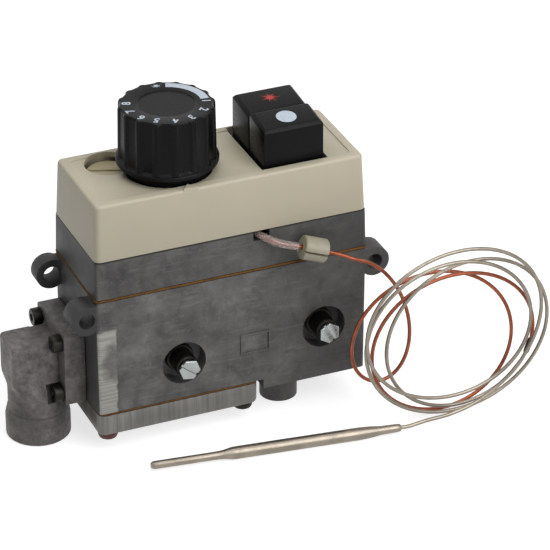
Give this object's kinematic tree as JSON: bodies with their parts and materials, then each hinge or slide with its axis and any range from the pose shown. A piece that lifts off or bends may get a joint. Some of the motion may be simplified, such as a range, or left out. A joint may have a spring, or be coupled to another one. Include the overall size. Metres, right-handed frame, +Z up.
{
  "type": "thermostatic gas control valve",
  "caption": "Thermostatic gas control valve: die-cast body with beige cover, temperature knob, push buttons, inlet elbow, mounting lugs and a capillary with sensing bulb.",
  "frame": {"origin": "on the floor under the middle of the valve's box, measured without the capillary set", "axes": "+X along the body from the inlet elbow to the outlet, +Y from the test points to the back, +Z up through the knob"},
  "size_m": [0.2055, 0.0762, 0.1337],
  "materials": {
    "beige_abs": "fine moulded texture, satin",
    "black_plastic": "semi-gloss moulded",
    "ivory_plastic": "moulded",
    "die_cast": "as-cast, dull bluish grey",
    "elbow": "as-cast, dull",
    "plate": "brushed edges, as-cast face",
    "gasket": "pressed fibre sheet",
    "black_steel": "blackened",
    "zinc_steel": "zinc plated",
    "spring_steel": "drawn wire",
    "brass": "turned",
    "copper": "drawn, slightly tarnished",
    "stainless": "drawn, annealed brown tint",
    "rubber": "moulded",
    "clear_tube": "clear soft tubing",
    "nylon": "translucent natural nylon"
  },
  "bodies": {
    "housing": {"cover": "beige_abs", "ignition_spring": "spring_steel", "off_spring": "spring_steel", "upper_casting": "die_cast", "main_gasket": "gasket", "lower_casting": "die_cast", "bottom_plate": "plate", "bottom_gasket": "gasket", "plate_screw_1": "black_steel", "plate_screw_2": "black_steel", "plate_screw_3": "black_steel", "plate_screw_4": "black_steel", "body_screw_1": "zinc_steel", "body_screw_2": "zinc_steel", "body_screw_3": "zinc_steel", "body_screw_4": "zinc_steel", "inlet_elbow": "elbow", "elbow_o_ring": "rubber", "flange_screw_1": "black_steel", "flange_screw_2": "black_steel", "flange_screw_3": "black_steel", "flange_screw_4": "black_steel", "inlet_strainer": "stainless", "test_nipple_left": "black_steel", "test_nipple_right": "black_steel", "bellows": "stainless", "valve_spring": "spring_steel", "magnet_unit": "brass", "inner_tube": "copper", "copper_lead": "copper", "capillary_sleeve": "clear_tube", "capillary_bush": "nylon", "copper_coil": "copper", "brazed_joint": "brass", "steel_coil": "stainless", "steel_tail": "stainless", "sensing_bulb": "stainless"},
    "knob": {"knob": "black_plastic", "temperature_spindle": "brass"},
    "ignition_button": {"ignition_button": "black_plastic", "ignition_stem": "zinc_steel"},
    "off_button": {"off_button": "black_plastic", "off_stem": "zinc_steel"},
    "adjuster": {"adjusting_disc": "ivory_plastic"},
    "test_screw_left": {"test_screw_left": "zinc_steel"},
    "test_screw_right": {"test_screw_right": "zinc_steel"},
    "valve": {"valve_disc": "brass"}
  },
  "joints": [
    {"name": "knob_turn", "type": "hinge", "parent": "housing", "child": "knob", "pos_m": [-0.00825, 0.00258, 0.1085], "axis": [0, 0, 1], "range_deg": [-174, 111]},
    {"name": "ignition_press", "type": "slide", "parent": "housing", "child": "ignition_button", "axis": [0, 0, -1], "range_m": [0, 0.007], "stiffness_N_per_m": 700, "springref_m": -0.004, "deforming": ["ignition_spring"]},
    {"name": "off_press", "type": "slide", "parent": "housing", "child": "off_button", "axis": [0, 0, -1], "range_m": [0, 0.005], "stiffness_N_per_m": 700, "springref_m": -0.004, "deforming": ["off_spring"]},
    {"name": "adjuster_turn", "type": "hinge", "parent": "housing", "child": "adjuster", "pos_m": [-0.02825, 0.01307, 0.1043], "axis": [0, 0, 1], "range_deg": [-180, 180]},
    {"name": "test_screw_left_turn", "type": "hinge", "parent": "housing", "child": "test_screw_left", "pos_m": [-0.01135, -0.02403, 0.0339], "axis": [0, -1, 0], "range_deg": [0, 360]},
    {"name": "test_screw_right_turn", "type": "hinge", "parent": "housing", "child": "test_screw_right", "pos_m": [0.04655, -0.02403, 0.0367], "axis": [0, -1, 0], "range_deg": [0, 360]},
    {"name": "valve_lift", "type": "slide", "parent": "housing", "child": "valve", "axis": [0, 0, -1], "range_m": [0, 0.0015], "stiffness_N_per_m": 800, "springref_m": -0.003, "deforming": ["valve_spring"]}
  ]
}
